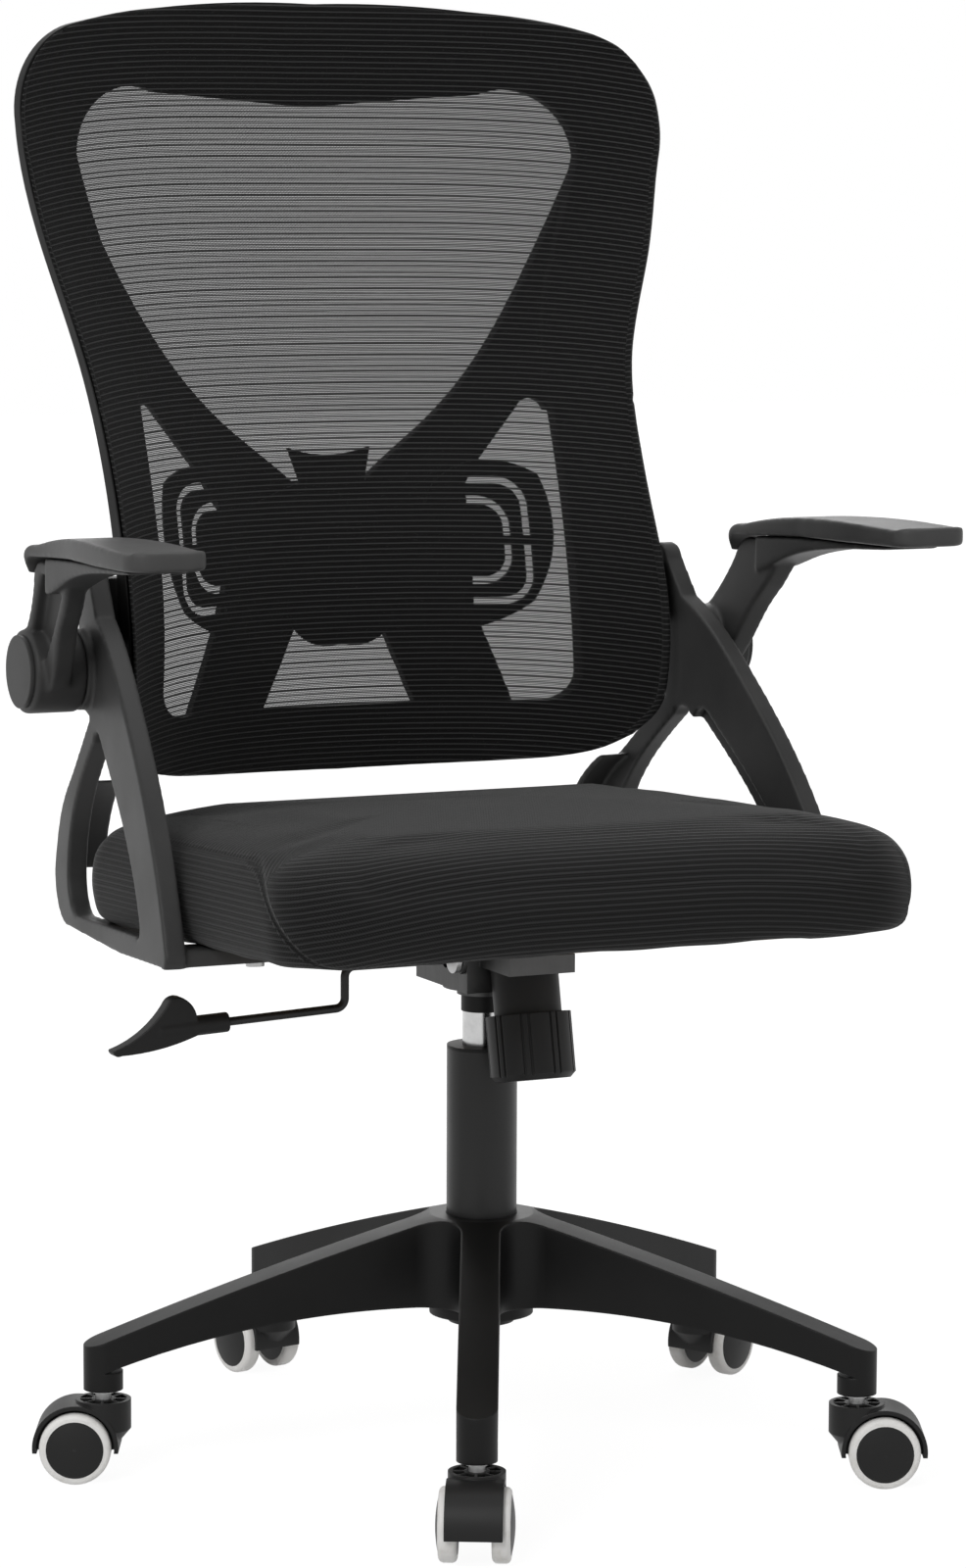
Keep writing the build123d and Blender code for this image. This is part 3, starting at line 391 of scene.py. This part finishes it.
def meshMaterial(name, look):
    material, start = blankMaterial(name)
    spot = place(start)
    across = stored(start, "ribs")
    along = stored(start, "along")
    edge = stored(start, "edge")
    wander = (spot.noise(22.0, 2.0, 0.5) - 0.5) * look["ribWander"]
    phase = (across / look["ribPitch"] + wander).share()
    rib = 1.0 - (phase - 0.5).size().ramped(look["ribShare"] * 0.5, look["ribShare"])
    lane = across * (2 * pi / look["hole"])
    eye = (along * (2 * pi / look["hole"]) + lane * 0.5).waved() * 0.5 + lane.waved() * 0.5
    hole = eye.ramped(0.10, 0.34) * (1.0 - rib) * look["open"] * (1.0 - edge)
    fuzz = spot.noise(look["fuzz"], 2.0, 0.6)
    colour = fuzz.mixed(grey(look["band"] * 0.7), grey(look["band"] * 1.5))
    colour = (rib * (0.6 + fuzz * 0.6)).mixed(colour, grey(look["rib"]))
    height = rib * 0.8 + eye * 0.2 + fuzz * 0.1
    normal = height.bumped(look["depth"], 0.6)
    finishMaterial(start, {
        "Base Color": colour, "Roughness": 0.75 + fuzz * 0.15, "Normal": normal, "Alpha": 1.0 - hole,
        "Sheen Weight": 0.06, "Sheen Roughness": 0.5, "Specular IOR Level": 0.15,
    })
    return material


finishes = {name: plasticMaterial(name, look) for name, look in plastics.items()}
finishes.update({name: metalMaterial(name, look) for name, look in metals.items()})
finishes.update({name: paintedMaterial(name, look) for name, look in paints.items()})
finishes["plywood"] = plywoodMaterial("plywood", plywood)
finishes["wheel"] = plasticMaterial("wheel", {**plastics["caster_plastic"], "grain": wheel["coreGrain"]})
finishes["tread"] = treadMaterial("tread", wheel)
finishes["seat_fabric"] = seatMaterial("seat_fabric", seatWeave)
finishes["mesh_fabric"] = meshMaterial("mesh_fabric", meshWeave)
print("materials made:", len(finishes))

for row in frame["record"]["subparts"]:
    mesh = nodes[row["node"]].data
    mesh.materials.clear()
    mesh.materials.append(finishes[row["material_slot"]])

# white treads on the wheels' rims
for joint in frame["joints"]:
    if not joint["name"].endswith("_spin"):
        continue
    centre, spin = Vector(joint["pos_m"]), Vector(joint["axis"]).normalized()
    node = nodes[joint["name"].replace("_spin", "_wheel")]
    node.data.materials.append(finishes["tread"])
    for face in node.data.polygons:
        reach = Vector(face.center) - centre
        reach -= spin * reach.dot(spin)
        if reach.length > wheel["coreRadius"]:
            face.material_index = 1
print("finishes on the solids")


def newPiece(name, points, faces, slot, body):
    mesh = bpy.data.meshes.new(name)
    mesh.from_pydata(points, [], faces)
    mesh.update()
    piece = bpy.data.objects.new(name, mesh)
    scene.collection.objects.link(piece)
    mesh.materials.append(finishes[slot])
    for face in mesh.polygons:
        face.use_smooth = True
    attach(piece, body)
    return piece


# arms, side frames and lever grip: the solids with their edges rounded as a mould leaves them
moulded = {
    "left_side_frame": {"cell": 0.0009, "passes": 26}, "right_side_frame": {"cell": 0.0009, "passes": 26},
    "left_arm_support": {"cell": 0.0009, "passes": 40}, "right_arm_support": {"cell": 0.0009, "passes": 40},
    "left_arm_pad": {"cell": 0.0009, "passes": 60}, "right_arm_pad": {"cell": 0.0009, "passes": 60},
    "lever_handle": {"cell": 0.0006, "passes": 16},
}
rounding = {"smoothing": 0.5, "keptShare": 0.15}
bodyOf = {node: body for body, names in frame["record"]["behaviour"]["bodies"].items() for node in names}
slotOf = {row["node"]: row["material_slot"] for row in frame["record"]["subparts"]}


def roundEdges(node, look):
    draft = bpy.data.objects.new(node + "_draft", nodes[node].data.copy())
    scene.collection.objects.link(draft)
    even = draft.modifiers.new("even", "REMESH")
    even.mode, even.voxel_size = "VOXEL", look["cell"]
    soft = draft.modifiers.new("soft", "SMOOTH")
    soft.factor, soft.iterations = rounding["smoothing"], look["passes"]
    draft.modifiers.new("lean", "DECIMATE").ratio = rounding["keptShare"]
    mesh = bpy.data.meshes.new_from_object(draft.evaluated_get(bpy.context.evaluated_depsgraph_get()))
    points = [tuple(v.co) for v in mesh.vertices]
    faces = [tuple(f.vertices) for f in mesh.polygons]
    bpy.data.objects.remove(draft)
    bpy.data.meshes.remove(mesh)
    piece = newPiece(node + "_moulded", points, faces, slotOf[node], bodyOf[node])
    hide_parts(node)
    return len(points)


def storeValues(piece, name, values, domain="POINT"):
    layer = piece.data.attributes.new(name, "FLOAT", domain)
    layer.data.foreach_set("value", values)


# seat cushion: rings from the underside over the edge to the middle of the top
cushion = {
    "width": 0.476, "front": -0.228, "rear": 0.186, "bottom": 0.381, "tilt": 2.6, "corner": 0.050,
    "profile": (  # height above the underside and inset from the outline
        (0.0006, 0.016), (0.0004, 0.010), (0.006, 0.003), (0.022, 0.0), (0.036, 0.0), (0.048, 0.002),
        (0.058, 0.0065), (0.066, 0.013), (0.0725, 0.023), (0.0762, 0.035), (0.0780, 0.050), (0.0790, 0.066),
        (0.0806, 0.095), (0.0824, 0.130), (0.0838, 0.165), (0.0843, 0.196),
    ),
    "sideSpots": 44, "cornerSpots": 14, "profileParts": 4, "cornerFade": 0.26, "leastCorner": 0.0015,
    "topFrom": 0.060, "middle": -0.02, "endFacing": 0.7, "cornerGap": 0.001,
    "bulge": 0.0015, "bulgeHeight": 0.07, "bulgeWidth": 0.24,
    "underRows": 9, "underWave": 0.0012, "waveTurn": 0.55, "waveDrift": 0.173, "waveStart": 1.1,
    "ribDroop": 0.022, "droopFrom": 0.05, "droopRun": 0.188,
}
# the seam runs level along each side and dips to the underside near the front and the rear
sideSeam = {
    "height": 0.066, "frontFrom": -0.118, "frontRun": 0.098, "rearFrom": 0.135, "rearRun": 0.05,
    "curve": 2.2, "sink": 0.002, "inner": 0.14, "steep": 1.7, "none": 0.05,
    "groove": 0.0012, "grooveWidth": 0.0035, "grooveReach": 0.05, "grooveSink": 0.5, "held": 0.003,
}


def smoothChain(points, parts):
    ends = [points[0], *points, points[-1]]
    chain = []
    for k in range(1, len(ends) - 2):
        a, b, c, d = (Vector(p) for p in ends[k - 1:k + 3])
        for n in range(parts):
            t = n / parts
            chain.append(0.5 * (2 * b + (c - a) * t + (2 * a - 5 * b + 4 * c - d) * t * t
                                + (3 * b - a - 3 * c + d) * t ** 3))
    chain.append(Vector(points[-1]))
    return chain


def cushionRing(inset):
    wide = cushion["width"] / 2 - inset
    front, rear = cushion["front"] + inset, cushion["rear"] - inset
    corner = cushion["corner"] * (1 - inset / cushion["cornerFade"])
    corner = min(corner, (rear - front) / 2 - cushion["cornerGap"])
    corner = max(corner, cushion["leastCorner"])
    centres = ((wide - corner, front + corner, -90), (wide - corner, rear - corner, 0),
               (corner - wide, rear - corner, 90), (corner - wide, front + corner, 180))
    ring = []
    for k, (x, y, start) in enumerate(centres):
        for n in range(cushion["cornerSpots"]):
            turn = radians(start + 90 * n / (cushion["cornerSpots"] - 1))
            ring.append((x + corner * cos(turn), y + corner * sin(turn), sin(turn)))
        x2, y2, start2 = centres[(k + 1) % 4]
        begin = Vector(ring[-1][:2])
        end = Vector((x2 + corner * cos(radians(start2)), y2 + corner * sin(radians(start2))))
        for n in range(1, cushion["sideSpots"]):
            spot = begin.lerp(end, n / cushion["sideSpots"])
            ring.append((spot.x, spot.y, sin(radians(start + 90))))
    return ring


def seamHeight(y):
    front = max(0.0, min(1.0, (sideSeam["frontFrom"] - y) / sideSeam["frontRun"]))
    rear = max(0.0, min(1.0, (y - sideSeam["rearFrom"]) / sideSeam["rearRun"]))
    drop = max(front, rear)
    return sideSeam["height"] * (1 - drop ** sideSeam["curve"]) - sideSeam["sink"] * drop


def seamOffset(x, y, z):  # height above the seam, or a plain value where there is none
    if abs(x) <= sideSeam["inner"]:
        return sideSeam["none"]
    return (z - seamHeight(y)) / (1.0 if y > sideSeam["frontFrom"] else sideSeam["steep"])


# a short cloth run swells the cover between its seams, held within a few millimetres
swell = {"pressure": 4.0, "frames": 20, "cap": 0.0035, "sideShare": 0.3, "evenings": 8}


def swellCover(piece, heldSpots, around):
    start = [v.co.copy() for v in piece.data.vertices]
    held = piece.vertex_groups.new(name="held")
    held.add(heldSpots, 1.0, "REPLACE")
    cover = piece.modifiers.new("cover", "CLOTH")
    cover.settings.use_pressure = True
    cover.settings.uniform_pressure_force = swell["pressure"]
    cover.settings.vertex_group_mass = "held"
    cover.settings.effector_weights.gravity = 0.0
    cover.collision_settings.use_collision = False
    cover.point_cache.frame_start, cover.point_cache.frame_end = 1, swell["frames"]
    for step in range(1, swell["frames"] + 1):
        scene.frame_set(step)
    moved = piece.evaluated_get(bpy.context.evaluated_depsgraph_get()).data
    ends = [v.co.copy() for v in moved.vertices]
    piece.modifiers.remove(cover)
    piece.vertex_groups.remove(held)
    scene.frame_set(1)
    shifts = [after - before for before, after in zip(start, ends)]
    last = len(shifts) - 1
    for _ in range(swell["evenings"]):  # evens out the creases between neighbouring spots
        shifts = [(shift * 2 + shifts[max(n - 1, 0)] + shifts[min(n + 1, last)]
                   + shifts[max(n - around, 0)] + shifts[min(n + around, last)]) / 6
                  for n, shift in enumerate(shifts)]
    for vertex, before, shift in zip(piece.data.vertices, start, shifts):
        shift.x *= swell["sideShare"]
        vertex.co = before + shift * min(1.0, swell["cap"] / max(shift.length, 1e-9))
    print("cover swelled, widest before the cap:", round(max(shift.length for shift in shifts), 4))


def ribDroop(x):
    return cushion["ribDroop"] * (max(0.0, abs(x) - cushion["droopFrom"]) / cushion["droopRun"]) ** 2


def runningLengths(chain):
    lengths = [0.0]
    for before, after in zip(chain, chain[1:]):
        lengths.append(lengths[-1] + (after - before).length)
    return lengths


def makeCushion():
    profile = smoothChain(cushion["profile"], cushion["profileParts"])
    lengths = runningLengths(profile)
    edge = next(k for k, spot in enumerate(profile) if spot.y > cushion["topFrom"])
    edgeRing = cushionRing(profile[edge].y)
    frontEdge = cushion["front"] + profile[edge].y
    underRows, middle = cushion["underRows"], cushion["middle"]
    points, ribsTop, ribsSide, ribsFront, alongTop, seams = [], [], [], [], [], []
    for k, spot in enumerate(profile):
        for n, (x, y, facing) in enumerate(cushionRing(spot.y)):
            z = spot.x
            acrossSeat = abs(facing) > cushion["endFacing"]  # on the front or rear side
            taper = 1 - (x / cushion["bulgeWidth"]) ** 2 if acrossSeat else 1
            bulge = sin(pi * min(1.0, z / cushion["bulgeHeight"])) * cushion["bulge"] * taper
            y += bulge * facing
            seam = seamOffset(x, y, z)
            groove = 0.0
            if spot.y < sideSeam["grooveReach"]:
                groove = sideSeam["groove"] * exp(-(seam / sideSeam["grooveWidth"]) ** 2)
            reach = hypot(x, y - middle) or 1.0
            if k < underRows:  # the stapled edge underneath is a little wavy
                wave = sin(n * cushion["waveTurn"]) * sin(n * cushion["waveDrift"] + cushion["waveStart"])
                z += cushion["underWave"] * wave * (1 - k / underRows)
            sunk = z - groove * sideSeam["grooveSink"]
            points.append((x * (1 - groove / reach), y - groove * (y - middle) / reach, sunk))
            toEdge = lengths[edge] - lengths[k]
            ribsTop.append(ribDroop(x) + (y if k >= edge else edgeRing[n][1] + facing * toEdge))
            ribsSide.append(lengths[k])
            ribsFront.append(ribDroop(x) + frontEdge - toEdge)
            alongTop.append(x if acrossSeat or k >= edge else y)
            seams.append(seam)
    count = len(edgeRing)
    faces = []
    for k in range(len(profile) - 1):
        for n in range(count):
            m = (n + 1) % count
            faces.append((k * count + n, k * count + m, (k + 1) * count + m, (k + 1) * count + n))
    faces.append(tuple((len(profile) - 1) * count + n for n in range(count)))
    piece = newPiece("seatCushion", points, faces, "seat_fabric", "seat")
    storeValues(piece, "along", alongTop)
    storeValues(piece, "seam", seams)
    mesh = piece.data
    ribs = []
    for face in mesh.polygons:
        row = ribsTop
        if sum(seams[i] for i in face.vertices) < 0:
            row = ribsSide
        elif face.center.y < frontEdge and max(face.vertices) < (edge + 1) * count:
            row = ribsFront
        ribs.extend(row[i] + 1.0 for i in face.vertices)
    storeValues(piece, "ribs", ribs, "CORNER")
    held = [n for n, seam in enumerate(seams) if n < underRows * count or abs(seam) < sideSeam["held"]]
    swellCover(piece, held, count)
    tilted = Matrix.Rotation(radians(-cushion["tilt"]), 4, "X")
    mesh.transform(Matrix.Translation((0, 0, cushion["bottom"])) @ tilted)
    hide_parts("seat_cushion")
    return piece


print("moulded points:", sum(roundEdges(node, look) for node, look in moulded.items()))
seatPiece = makeCushion()
print("cushion made:", len(seatPiece.data.vertices), "points")

# back mesh: one sheet over the curved frame, its border rolled round the frame's edge
backSheet = {
    "top": ((0, 1.029), (0.055, 1.0282), (0.11, 1.0255), (0.16, 1.0205), (0.200, 1.012), (0.226, 1.001),
            (0.240, 0.987)),
    "side": ((0.197, 0.489), (0.2085, 0.509), (0.212, 0.535), (0.213, 0.590), (0.211, 0.685),
             (0.217, 0.765), (0.2405, 0.850), (0.2510, 0.905), (0.2552, 0.932), (0.2538, 0.956),
             (0.2490, 0.972), (0.240, 0.987)),
    "bottom": ((0, 0.461), (0.08, 0.463), (0.13, 0.466), (0.160, 0.470), (0.181, 0.477), (0.197, 0.489)),
    "columns": 110, "rows": 130, "chainParts": 12, "lift": 0.0004,
    "roll": 0.0040, "rollTurns": (30, 60, 90), "wrap": 0.007, "wrapShares": (0.33, 0.66, 1.0),
    "droop": 0.010, "droopWidth": 0.23, "flat": (0.545, 0.625), "area": 0.305,
    "centre": 0.75, "inward": (0.975, 0.955), "onward": 1.25,
}


def evenChain(points, count):
    chain = smoothChain(points, backSheet["chainParts"])
    lengths = runningLengths(chain)
    spots, k = [], 0
    for n in range(count + 1):
        goal = lengths[-1] * n / count
        while k < len(chain) - 2 and lengths[k + 1] < goal:
            k += 1
        share = (goal - lengths[k]) / (lengths[k + 1] - lengths[k])
        spots.append(chain[k].lerp(chain[k + 1], min(1.0, max(0.0, share))))
    return spots


def sheetGrid():
    columns, rows = backSheet["columns"], backSheet["rows"]
    top = evenChain(backSheet["top"], columns // 2)
    bottom = evenChain(backSheet["bottom"], columns // 2)
    side = evenChain(backSheet["side"], rows)
    top = [Vector((-p.x, p.y)) for p in reversed(top[1:])] + top
    bottom = [Vector((-p.x, p.y)) for p in reversed(bottom[1:])] + bottom
    grid = []
    for j in range(rows + 1):
        v = j / rows
        right = side[j]
        left = Vector((-right.x, right.y))
        line = []
        for i in range(columns + 1):
            u = i / columns
            cross = bottom[i] * (1 - v) + top[i] * v + left * (1 - u) + right * u
            cross -= (bottom[0] * (1 - u) + bottom[-1] * u) * (1 - v) + (top[0] * (1 - u) + top[-1] * u) * v
            line.append(cross)
        grid.append(line)
    return grid


def makeBackSheet():
    rear = Vector((0, 1, 0))
    solid = nodes["back_mesh"].data
    tree = BVHTree.FromPolygons([v.co for v in solid.vertices], [list(f.vertices) for f in solid.polygons])

    def onFrame(spot, share):
        centre = backSheet["centre"]
        ahead = Vector((spot.x * share, -1, centre + (spot.y - centre) * share))
        hit = tree.ray_cast(ahead, rear)[0]
        return hit.y if hit else None

    def depthAt(spot):  # past the solid's edge, the depth goes on as it does just inside
        depth = onFrame(spot, 1.0)
        if depth is None:
            outer, inner = (onFrame(spot, share) for share in backSheet["inward"])
            depth = outer + (outer - inner) * backSheet["onward"]
        return depth

    grid = sheetGrid()
    columns, rows = backSheet["columns"], backSheet["rows"]
    points, ribs, along, edges, faces = [], [], [], [], []
    for line in grid:
        for spot in line:
            points.append(Vector((spot.x, depthAt(spot) - backSheet["lift"], spot.y)))
            ribs.append(spot.y + backSheet["droop"] * (abs(spot.x) / backSheet["droopWidth"]) ** 4)
            along.append(spot.x)
            edges.append(0.0)
    wide = columns + 1
    for j in range(rows):
        for i in range(columns):
            faces.append((j * wide + i, j * wide + i + 1, (j + 1) * wide + i + 1, (j + 1) * wide + i))
    border = list(range(columns)) + [j * wide + columns for j in range(rows)]
    border += [rows * wide + i for i in range(columns, 0, -1)] + [j * wide for j in range(rows, 0, -1)]
    count = len(border)
    last = border
    roll, wrap = backSheet["roll"], backSheet["wrap"]
    turns = [radians(turn) for turn in backSheet["rollTurns"]]
    steps = [(roll * sin(turn), roll * (1 - cos(turn))) for turn in turns]
    steps += [(roll, roll + wrap * share) for share in backSheet["wrapShares"]]
    for out, back in steps:
        ring = []
        for n in range(count):
            here = points[border[n]]
            ahead, behind = points[border[(n + 2) % count]], points[border[n - 2]]
            tangent = (ahead - behind).normalized()
            outward = tangent.cross(rear).normalized()
            ring.append(len(points))
            points.append(here + outward * out + rear * back)
            ribs.append(ribs[border[n]] + outward.z * (out + back))
            along.append(along[border[n]] + outward.x * (out + back))
            edges.append(1.0)
        for n in range(count):
            m = (n + 1) % count
            faces.append((last[n], ring[n], ring[m], last[m]))
        last = ring
    piece = newPiece("backMesh", points, faces, "mesh_fabric", "seat")
    storeValues(piece, "ribs", [r + 1.0 for r in ribs])
    storeValues(piece, "along", along)
    storeValues(piece, "edge", edges)
    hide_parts("back_mesh")
    area = sum(face.area for face in piece.data.polygons)
    print("back sheet area:", round(area, 4))
    return piece


backPiece = makeBackSheet()
print("back sheet made:", len(backPiece.data.vertices), "points")


# white floor that keeps a faint shadow, and a white background
stageLook = {
    "floorWhite": 0.86, "floorHalf": 14.0, "worldLevel": 0.20,
    "cameraShare": 0.84, "glow": 1.13, "shadowReach": 0.40, "whiteReach": 0.95,
}


def seenDirectly(start):
    path = start.add("ShaderNodeLightPath")
    outputs = path.socket.node.outputs
    camera, glossy, through = (Wire(start.tree, outputs[name]) for name in (
        "Is Camera Ray", "Is Glossy Ray", "Is Transmission Ray"))
    return camera.most(glossy).most(through)


def makeStage():
    material, start = blankMaterial("studioFloor")
    shade = start.add("ShaderNodeBsdfDiffuse", {}, {"Color": grey(stageLook["floorWhite"])})
    glow = start.add("ShaderNodeEmission", {}, {"Color": grey(1.0), "Strength": stageLook["glow"]})
    reach = start.add("ShaderNodeVectorMath", {"operation": "LENGTH"}, {0: place(start)}, out=1)
    faded = reach.ramped(stageLook["shadowReach"], stageLook["whiteReach"])
    share = seenDirectly(start) * (stageLook["cameraShare"] + faded * (1.0 - stageLook["cameraShare"]))
    mixed = start.add("ShaderNodeMixShader", {}, {0: share, 1: shade, 2: glow})
    start.add("ShaderNodeOutputMaterial", {}, {"Surface": mixed})
    mesh = bpy.data.meshes.new("studioFloor")
    wide = stageLook["floorHalf"]
    corners = [(-wide, -wide, 0), (wide, -wide, 0), (wide, wide, 0), (-wide, wide, 0)]
    mesh.from_pydata(corners, [], [(0, 1, 2, 3)])
    floor = bpy.data.objects.new("studioFloor", mesh)
    mesh.materials.append(material)
    scene.collection.objects.link(floor)
    world = bpy.data.worlds.new("studioWorld")
    world.use_nodes = True
    world.node_tree.nodes.clear()
    sky = Wire(world.node_tree)
    seen = seenDirectly(sky)
    soft = sky.add("ShaderNodeBackground", {}, {"Color": grey(1.0), "Strength": stageLook["worldLevel"]})
    white = sky.add("ShaderNodeBackground", {}, {"Color": grey(1.0), "Strength": 1.0})
    mixed = sky.add("ShaderNodeMixShader", {}, {0: seen, 1: soft, 2: white})
    sky.add("ShaderNodeOutputWorld", {}, {"Surface": mixed})
    scene.world = world


makeStage()
print("stage made")
